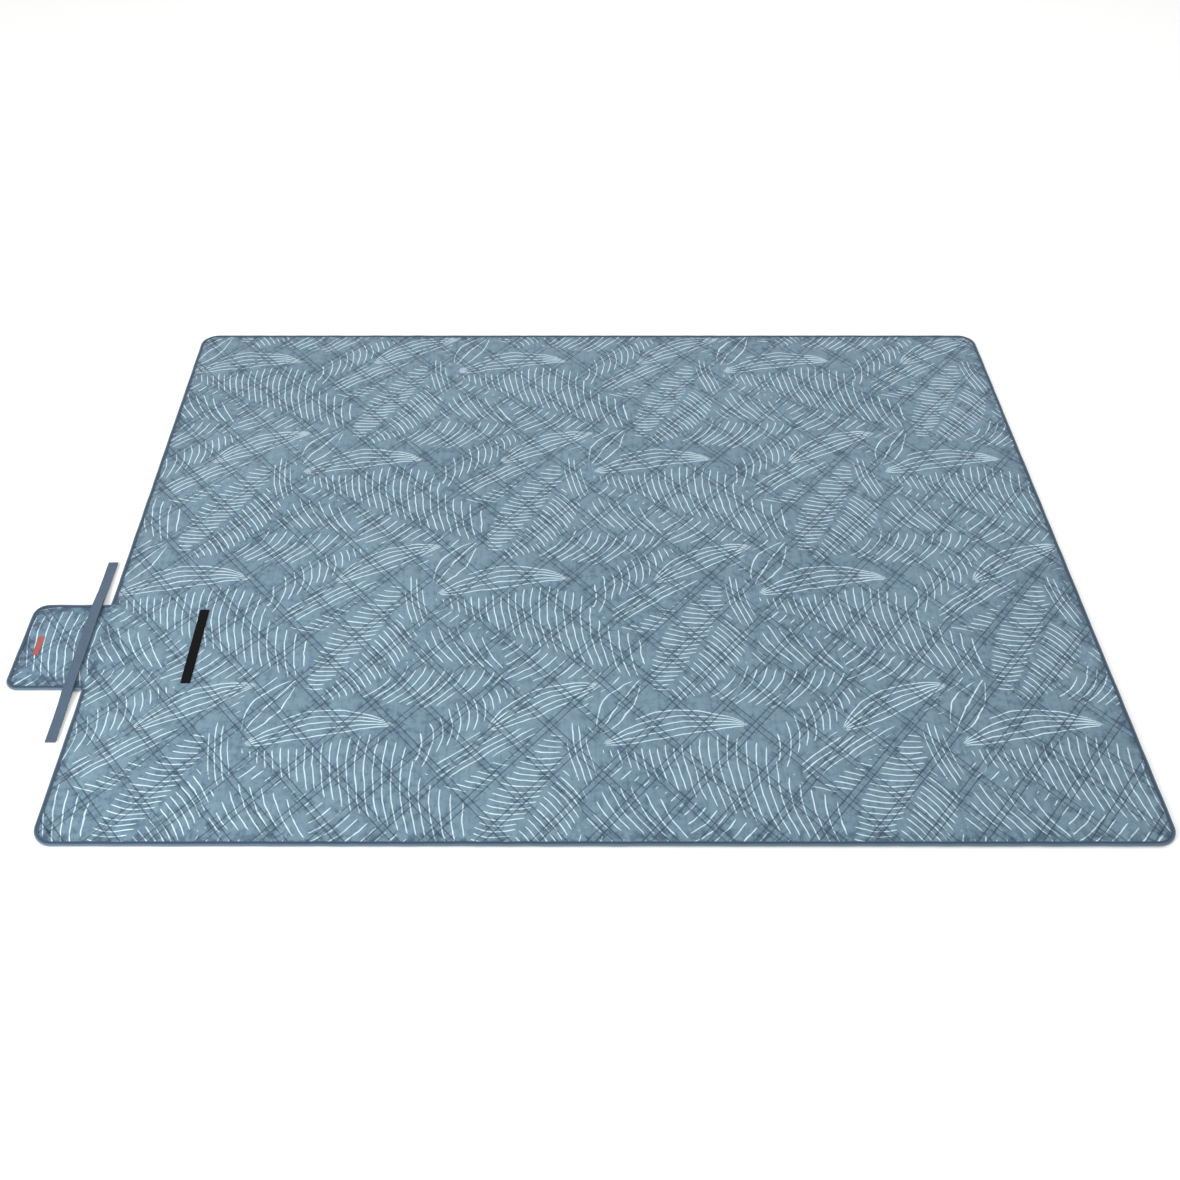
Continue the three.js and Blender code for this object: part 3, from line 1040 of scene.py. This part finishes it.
def tape_section():
    """A closed line round the folded tape: distance in from the edge, height, and the place
    across the tape, from one selvage to the other."""
    flange = np.linspace(TAPE_WIDTH, FOLD_RADIUS, 6)
    turn = np.linspace(math.pi / 2, 1.5 * math.pi, 9)[1:-1]
    outer, inner = [], []
    for radius, line in ((FOLD_RADIUS, outer), (FOLD_RADIUS - TAPE_THICK, inner)):
        for d in flange:
            line.append((d, FOLD_RADIUS + radius))
        for angle in turn:
            line.append((FOLD_RADIUS + radius * math.cos(angle),
                         FOLD_RADIUS + radius * math.sin(angle)))
        for d in flange[::-1]:
            line.append((d, FOLD_RADIUS - radius))
    outer, inner = np.array(outer), np.array(inner)
    across = distance_along(outer)
    return np.concatenate([outer, inner[::-1]]), np.concatenate([across, across[::-1]])


# %% Tape along a route
def tape_piece(name, route):
    """A folded tape along a route that has the blanket on its left."""
    section, across = tape_section()
    ahead = np.gradient(route, axis=0)
    ahead /= np.linalg.norm(ahead, axis=1)[:, None]
    inward = np.stack([-ahead[:, 1], ahead[:, 0]], axis=1)
    x, y = route[:, 0], route[:, 1]
    waver = 0.35 * MM * (1 + ripples(x, y, 0.07, 11))
    lift = 0.28 * MM * ripples(x, y, 0.045, 12)
    d = section[None, :, 0] + waver[:, None]
    top_share = soft_step(section[None, :, 1], FOLD_RADIUS, TAPE_TOP)
    z = section[None, :, 1] + (lift[:, None] - 0.30 * MM) * top_share
    points = np.stack([x[:, None] + inward[:, :1] * d, y[:, None] + inward[:, 1:] * d, z], axis=-1)
    return carried_piece(name, points, route, across)


# %% The binding's finish
TAPE_LENGTH_ACROSS = float(tape_section()[1].max())


def binding_finish():
    finish = Finish("binding_tape")
    uv, u, v = finish.flat()
    from_selvage = v.math("MINIMUM", v * -1 + TAPE_LENGTH_ACROSS)
    thread = stitches((from_selvage - 2.2 * MM).math("ABSOLUTE"), u, 3.4 * MM, 0.8 * MM)
    seam_dent_and_shade = (from_selvage - 2.2 * MM).math("ABSOLUTE").step(1.8 * MM, 0)
    ribs = (u * (math.tau / (0.9 * MM))).math("SINE")
    worn = finish.noise(uv, 26, 4, 0.65)
    # The tape is one navy, painted as a lit copy and a shaded copy: lighter on its outer fold as a
    # painted highlight, and darker on its inner half as painted shade. The worn noise is the tape's
    # own wear.
    fold = from_selvage.step(TAPE_WIDTH * 0.45, TAPE_WIDTH * 0.95)
    base = finish.mix(worn * 0.25 + fold * 0.65, colour(36, 63, 86), colour(96, 119, 136))
    # Painted shade: a dark band along the seam, in the groove where the tape's inner edge is sewn
    # down.
    base = finish.mix(seam_dent_and_shade * 0.55, base, colour(16, 36, 56))
    base = finish.mix(thread * 0.7, base, colour(30, 50, 70))
    relief = ribs * 0.12 - seam_dent_and_shade * 0.5 - thread * 0.2 + finish.noise(uv, 90, 2) * 0.5
    return finish.surface(
        Base_Color=base, Roughness=0.60 + worn * 0.15, Normal=finish.bump(relief, 0.8 * MM, 0.8),
        Sheen_Weight=0.15, Sheen_Roughness=0.4,
    )


tape_cloth = binding_finish()

# %% Tape routes
ROUTE_STEP = 5 * MM
cut_near, cut_middle, cut_far = CUTS[1:4]
flap_near, flap_far = flap_low.y, flap_high.y
FLAP_ROOT = flap_high.x
TAPES = [
    ("binding_near", [(LEFT, flap_near), (LEFT, NEAR), (RIGHT, NEAR), (RIGHT, cut_near)], 0,
     ("binding_1", "binding_2_left_near")),
    ("binding_second_right", [(RIGHT, cut_near), (RIGHT, cut_middle)], 1,
     ("binding_2_right", "binding_3_right")),
    ("binding_second_left", [(LEFT, cut_middle), (LEFT, flap_far)], 1,
     ("binding_2_left_far", "binding_3_left")),
    ("binding_third_right", [(RIGHT, cut_middle), (RIGHT, cut_far)], 2,
     ("binding_3_right", "binding_4_right")),
    ("binding_third_left", [(LEFT, cut_far), (LEFT, cut_middle)], 2,
     ("binding_3_left", "binding_4_left")),
    ("binding_far", [(RIGHT, cut_far), (RIGHT, FAR), (LEFT, FAR), (LEFT, cut_far)], 3,
     ("binding_4_right", "binding_4_left", "binding_5")),
]

for name, corners, at, nodes in TAPES:
    tape = tape_piece(name, rounded_route(corners, QUILT_RADIUS, ROUTE_STEP))
    fold_with(tape)
    dress(tape, tape_cloth, "binding", *nodes)
    LENGTHS[at].setdefault("tapes", []).append(tape)
    print(name, len(tape.data.polygons) * 2, "triangles")

# %% The cloths and their cut sizes
for length in LENGTHS:
    size = (RIGHT - LEFT, width_of(length))
    print(length["cover"].name, "cut to", [round(s, 3) for s in size], "m")

# %% [markdown]
# ## The flap
#
# The flap is quilted like the blanket, from another piece of the same print, and bound on its
# three free sides. It turns about the seam at its root, and what is sewn to it rides on it.


def fold_flap(piece):
    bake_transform(piece)


FLAP_COVER_ROOT = LEFT + COVER_INSET
FLAP_PRINT_SHIFT = (0.975, 0.07)  # the flap is cut from another part of the print
x, y = flap_grid(COVER_INSET, 2 * MM, FLAP_COVER_ROOT)
flap_cover = sheet_piece("flap_cover_cloth", x, y, face_height_of_flap)
mark_cover(flap_cover, x, y, FLAP_BOX, FLAP_RADIUS, FLAP_PRINT_SHIFT)

flap_backing = sheet_piece("flap_backing_cloth", *flap_grid(COVER_INSET, 4 * MM, FLAP_COVER_ROOT),
                           backing_height_of_flap, facing=-1)

flap_wadding = pad_piece("flap_wadding_pad", *flap_grid(WADDING_INSET, 10 * MM, FLAP_COVER_ROOT),
                         WADDING_TOP, WADDING_BOTTOM)

route = rounded_route([(FLAP_ROOT, flap_far), (flap_low.x, flap_far), (flap_low.x, flap_near),
                       (FLAP_ROOT, flap_near)], FLAP_RADIUS, 3 * MM)
flap_binding = tape_piece("flap_binding_tape", route)

FLAP_PIECES = [
    (flap_cover, flap_cloth, "cover"), (flap_backing, coated, "backing"),
    (flap_wadding, fibre, "wadding"), (flap_binding, tape_cloth, "binding"),
]
for piece, material, role in FLAP_PIECES:
    fold_flap(piece)
    dress(piece, material, role, f"flap_{role}")

# %% [markdown]
# ## Hook tape, loop tape and label
#
# The closure is a strip of black hook tape on the blanket and its loop mate under the flap. Hook
# tape has a flat selvage on both sides and a bed of hooks between, which stands a little higher.
# Each strip starts as a block at its CAD place. Its corners are cut round, and the bed is inset
# and raised. The label is a small folded tab, made in the same way with a sunk stitched border.

# %% A strip with a raised bed
def block(name, low, high):
    """A block between two corners, with its place in its mesh."""
    deselect()
    bpy.ops.mesh.primitive_cube_add(size=1, location=(low + high) / 2, scale=high - low)
    piece = bpy.context.object
    piece.name = name
    piece.data.name = name
    bpy.ops.object.transform_apply(location=True, rotation=True, scale=True)
    return piece


def select_faces(piece, chosen):
    """Selects, in edit mode, the faces whose centre and normal pass a test."""
    bpy.ops.object.mode_set(mode="EDIT")
    bpy.ops.mesh.select_mode(type="FACE")
    bpy.ops.mesh.select_all(action="DESELECT")
    bpy.ops.object.mode_set(mode="OBJECT")
    for face in piece.data.polygons:
        face.select = chosen(face.center, face.normal)
    bpy.ops.object.mode_set(mode="EDIT")


def round_corners(piece, radius):
    """Rounds the upright corners of a flat block, and then softens every edge."""
    bpy.ops.object.mode_set(mode="EDIT")
    bpy.ops.mesh.select_mode(type="EDGE")
    bpy.ops.mesh.select_all(action="DESELECT")
    bpy.ops.object.mode_set(mode="OBJECT")
    vertices = piece.data.vertices
    for edge in piece.data.edges:
        a, b = (vertices[v].co for v in edge.vertices)
        edge.select = abs((a - b).normalized().z) > 0.99
    bpy.ops.object.mode_set(mode="EDIT")
    bpy.ops.mesh.bevel(offset=radius, segments=5, affect="EDGES")
    bpy.ops.object.mode_set(mode="OBJECT")


def sewn_strip(name, side, corner, border, rise):
    """A flat strip at its CAD place, whose bed, on the given side, is raised or sunk."""
    low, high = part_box(name)
    face_z = (high if side > 0 else low).z - side * max(rise, 0)
    low, high = low.copy(), high.copy()
    if side > 0:
        high.z = face_z
    else:
        low.z = face_z
    piece = block(f"{name}_strip", low, high)
    round_corners(piece, corner)
    select_faces(piece, lambda centre, normal: normal.z * side > 0.9)
    bpy.ops.mesh.inset(thickness=border)
    bpy.ops.mesh.inset(thickness=0.25 * MM)
    bpy.ops.transform.translate(value=(0, 0, side * rise))
    bpy.ops.object.mode_set(mode="OBJECT")
    bevel = piece.modifiers.new("soft_edges", "BEVEL")
    bevel.width = 0.15 * MM
    bevel.segments = 2
    bpy.ops.object.modifier_apply(modifier=bevel.name)
    bpy.ops.object.shade_flat()
    return piece


# %% Finishes for the strips
def pile_finish(name, tone, tip_highlight_and_fuzz, size, depth):
    """Hooks or loops: a dense bed of tiny bumps, with a painted highlight on their tips."""
    finish = Finish(name)
    place = finish.place()
    cells = finish.node("ShaderNodeTexVoronoi", None, Vector=place, Scale=1 / size)
    fuzz = finish.noise(place, 900, 3, 0.7)
    tips = cells.step(0.55, 0.1)
    # The tips are painted lighter as a painted highlight. The fuzz varies the tone at random.
    return finish.surface(
        Base_Color=finish.mix(tips * 0.4 + fuzz * 0.3, tone, tip_highlight_and_fuzz),
        Roughness=0.82 + fuzz * 0.15, Normal=finish.bump(tips + fuzz * 0.3, depth, 0.9),
        Specular_IOR_Level=0.15,
    )


def label_finish():
    finish = Finish("label_weave")
    place = finish.place()
    x, y = finish.split(place)
    threads = weave_height(x, y, 0.7 * MM)
    faded = finish.noise(place, 120, 3)
    base = finish.mix(faded * 0.5 + threads * 0.1, colour(146, 56, 44), colour(182, 92, 74))
    return finish.surface(
        Base_Color=base, Roughness=0.6 + faded * 0.1,
        Normal=finish.bump(threads * 0.3 + faded * 0.4, 0.5 * MM, 0.8), Sheen_Weight=0.2,
    )


# %% Strips and label in place
STRIPS = [
    ("hook_tape", 1, "panel_2", "hook_tape", 2.2 * MM, 1.4 * MM, 0.6 * MM,
     pile_finish("hook_bed", colour(3, 3, 5), colour(26, 26, 30), 1.3 * MM, 0.7 * MM)),
    ("flap_loop_tape", -1, "flap", "loop_tape", 2.2 * MM, 1.6 * MM, 0.3 * MM,
     pile_finish("loop_bed", colour(6, 7, 10), colour(34, 36, 42), 0.9 * MM, 0.5 * MM)),
    ("flap_label", 1, "flap", "label", 1.5 * MM, 0.9 * MM, -0.15 * MM, label_finish()),
]
for name, side, body, role, corner, border, rise, material in STRIPS:
    strip = sewn_strip(name, side, corner, border, rise)
    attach(strip, body)
    dress(strip, material, role, name)
    print(strip.name, len(strip.data.polygons), "faces")

# %% [markdown]
# ## The webbing handle
#
# The handle is a flat webbing strap. Both ends are folded back under it and run inwards to two
# sewn anchors, so the strap can be lifted between them. It is thin and limp, so where it reaches
# past the flap it sinks to the floor. It is made by carrying the webbing's thin cross-section
# along that route. The anchors and the pegging loops are shorter lengths of the same webbing.

# %% Webbing along a line
def webbing_piece(name, line, sideways, width, thick):
    """Webbing whose middle follows a line of points, lying flat along a sideways direction."""
    line = np.array(line, float)
    side = np.array(sideways, float) / np.linalg.norm(sideways)
    ahead = np.gradient(line, axis=0)
    ahead /= np.linalg.norm(ahead, axis=1)[:, None]
    up = np.cross(ahead, side)
    half = np.array([-1, -0.93, -0.86, -0.43, 0, 0.43, 0.86, 0.93, 1]) * width / 2
    rise = np.array([0.30, 0.5, 0.42, 0.44, 0.44, 0.44, 0.42, 0.5, 0.30]) * thick
    section = np.concatenate([np.stack([half, rise], 1), np.stack([half, -rise], 1)[::-1]])
    points = (line[:, None] + side * section[None, :, :1] + up[:, None] * section[None, :, 1:])
    return carried_piece(name, points, line, section[:, 0] + width / 2)


def webbing_finish(name, tone, light):
    """Plain-woven webbing: ribs across, a denser edge, and a little fading."""
    finish = Finish(name)
    uv, u, v = finish.flat()
    rib = (u * (math.tau / (1.6 * MM))).math("SINE")
    cord = (v * (math.tau / (2.2 * MM))).math("SINE")
    faded = finish.noise(uv, 35, 4, 0.6)
    fuzz = finish.noise(uv, 700, 2)
    base = finish.mix(faded * 0.6 + rib * 0.08 + cord * 0.05, tone, light)
    relief = rib * cord * 0.5 + rib * 0.3 + fuzz * 0.3
    return finish.surface(
        Base_Color=base, Roughness=0.55 + faded * 0.15, Normal=finish.bump(relief, 0.5 * MM, 0.9),
        Sheen_Weight=0.15, Sheen_Roughness=0.4,
    )


webbing = webbing_finish("handle_webbing", colour(50, 72, 94), colour(86, 107, 129))

# %% Handle strap
strap_low, strap_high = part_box("handle_strap")
anchor_near_low, anchor_near_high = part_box("handle_anchor_near")
anchor_far_low, anchor_far_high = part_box("handle_anchor_far")
STRAP_THICK = 1.2 * MM
STRAP_SINK = 5.6 * MM
strap_width = strap_high.x - strap_low.x
strap_x = (strap_low.x + strap_high.x) / 2
upper_z = strap_high.z - STRAP_THICK / 2
lower_z = strap_low.z + STRAP_THICK / 2


def strap_drop(y):
    """How far the strap sinks past the flap's two edges."""
    past = np.maximum(flap_near - y, y - flap_far)
    return STRAP_SINK * soft_step(past, -12 * MM, 62 * MM)


def strap_line():
    fold = (upper_z - lower_z) / 2
    middle = (upper_z + lower_z) / 2
    near_end, far_end = strap_low.y + fold + STRAP_THICK / 2, strap_high.y - fold - STRAP_THICK / 2
    turn = np.linspace(math.pi / 2, -math.pi / 2, 9)
    y = [*span(anchor_near_high.y, near_end, 4 * MM)]
    z = [lower_z] * len(y)
    y += [near_end - fold * math.cos(t) for t in turn[::-1]][1:-1]
    z += [middle + fold * math.sin(t) for t in turn[::-1]][1:-1]
    run = span(near_end, far_end, 4 * MM)
    y += [*run]
    z += [*(upper_z - 0.25 * MM * (1 + ripples(run, run * 0, 0.15, 2)))]
    y += [far_end + fold * math.cos(t) for t in turn][1:-1]
    z += [middle + fold * math.sin(t) for t in turn][1:-1]
    run = span(far_end, anchor_far_low.y, 4 * MM)
    y += [*run]
    z += [lower_z] * len(run)
    y, z = np.array(y), np.array(z)
    x = strap_x + 0.5 * MM * np.sin(9 * (y - strap_low.y))
    return np.stack([x, y, z - strap_drop(y)], axis=1)


line = strap_line()
strap = webbing_piece("handle_webbing_strap", line, (1, 0, 0), strap_width, STRAP_THICK)
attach(strap, "handle")
dress(strap, webbing, "webbing", "handle_strap")
print("strap", round(float(distance_along(line)[-1]), 3), "m of webbing, lowest at",
      round(line[:, 2].min() / MM, 1), "mm")

# %% Strap anchors
for side, (low, high) in {"near": (anchor_near_low, anchor_near_high),
                          "far": (anchor_far_low, anchor_far_high)}.items():
    y = span(low.y, high.y, 3 * MM)
    middle = (low.z + high.z) / 2
    line = np.stack([np.full_like(y, (low.x + high.x) / 2), y, np.full_like(y, middle)], axis=1)
    anchor = webbing_piece(f"strap_anchor_{side}", line, (1, 0, 0), high.x - low.x, high.z - low.z)
    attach(anchor, "flap")
    dress(anchor, webbing, "webbing", f"handle_anchor_{side}")
print("anchors", round((high.y - low.y) / MM), "mm long")

# %% [markdown]
# ## Corners
#
# Under each corner is a loop of webbing for a tent peg, held by a bar tack through all the layers.
# From above only the tack shows: a dense little bar of dark zigzag thread, in which each stitch is
# a separate strand. One strand is modelled and copied along the bar.

# %% Peg loops
LOOP_LENGTH = 34 * MM
LOOP_POINTS = 13


def corner_body(name):
    return "panel_1" if "near" in name else "panel_5"


for name, tack in zip(TACK_NAMES, tack_places):
    corner_name = name.replace("bar_tack_", "")
    low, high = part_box(f"peg_loop_{corner_name}")
    middle = (low + high) / 2
    inward = np.array([-math.copysign(1, middle.x), -math.copysign(1, middle.y)]) / math.sqrt(2)
    reach = np.linspace(-LOOP_LENGTH / 2, LOOP_LENGTH / 2, LOOP_POINTS)
    line = np.stack([middle.x + reach * inward[0], middle.y + reach * inward[1],
                     np.full(LOOP_POINTS, middle.z)], axis=1)
    width = 2 * (high.x - low.x) / math.sqrt(2) - LOOP_LENGTH
    loop = webbing_piece(f"peg_webbing_{corner_name}", line, (-inward[1], inward[0], 0), width,
                         high.z - low.z)
    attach(loop, corner_body(name))
    dress(loop, webbing, "webbing", f"peg_loop_{corner_name}")
print("peg loops", round(width / MM, 1), "mm wide")

# %% Bar tack thread
THREAD_RADIUS = 0.26 * MM
TACK_LENGTH, TACK_WIDTH = 12 * MM, 3.5 * MM
STRANDS = 18


def thread_finish():
    finish = Finish("tack_thread")
    place = finish.place()
    twist = finish.noise(place, 1500, 2)
    return finish.surface(
        Base_Color=finish.mix(twist, colour(20, 32, 46), colour(46, 62, 80)),
        Roughness=0.45 + twist * 0.2, Normal=finish.bump(twist, 0.1 * MM),
    )


def tack_strand(centre, turn):
    """One strand of thread that goes over the bar and dips into the cloth at both ends."""
    deselect()
    bpy.ops.mesh.primitive_uv_sphere_add(segments=8, ring_count=6, radius=1, location=centre)
    strand = bpy.context.object
    strand.scale = (TACK_WIDTH / 2, THREAD_RADIUS * 1.6, THREAD_RADIUS)
    strand.rotation_euler = (0, 0, turn)
    bpy.ops.object.transform_apply(location=True, rotation=True, scale=True)
    return strand


tack_thread = thread_finish()
for name, place in zip(TACK_NAMES, tack_places):
    diagonal = math.atan2(-place.y, -place.x)
    diagonal = round(diagonal / (math.pi / 2) - 0.5) * math.pi / 2 + math.pi / 4
    bar = Vector((-math.sin(diagonal), math.cos(diagonal), 0))
    strands = []
    for k in range(STRANDS):
        offset = (k / (STRANDS - 1) - 0.5) * (TACK_LENGTH - 2 * THREAD_RADIUS)
        lean = math.radians(7 if k % 2 else -7)
        strands.append(tack_strand(place + bar * offset, diagonal + lean))
    deselect()
    for strand in strands:
        strand.select_set(True)
    bpy.context.view_layer.objects.active = strands[0]
    bpy.ops.object.join()
    tack = bpy.context.object
    tack.name = f"{name}_thread"
    bpy.ops.object.shade_smooth()
    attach(tack, corner_body(name))
    dress(tack, tack_thread, "thread", name)
print(STRANDS, "strands in each bar tack")

# %% [markdown]
# ## Sizes
#
# How far the looks stand past the CAD model's box is printed. The looks may stand a little proud
# of the CAD model and no more.

# %% Sizes
low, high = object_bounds()
print("past the CAD box, mm: below", [round((a - b) / MM, 2) for a, b in zip(cad_low, low)],
      "above", [round((b - a) / MM, 2) for a, b in zip(cad_high, high)])
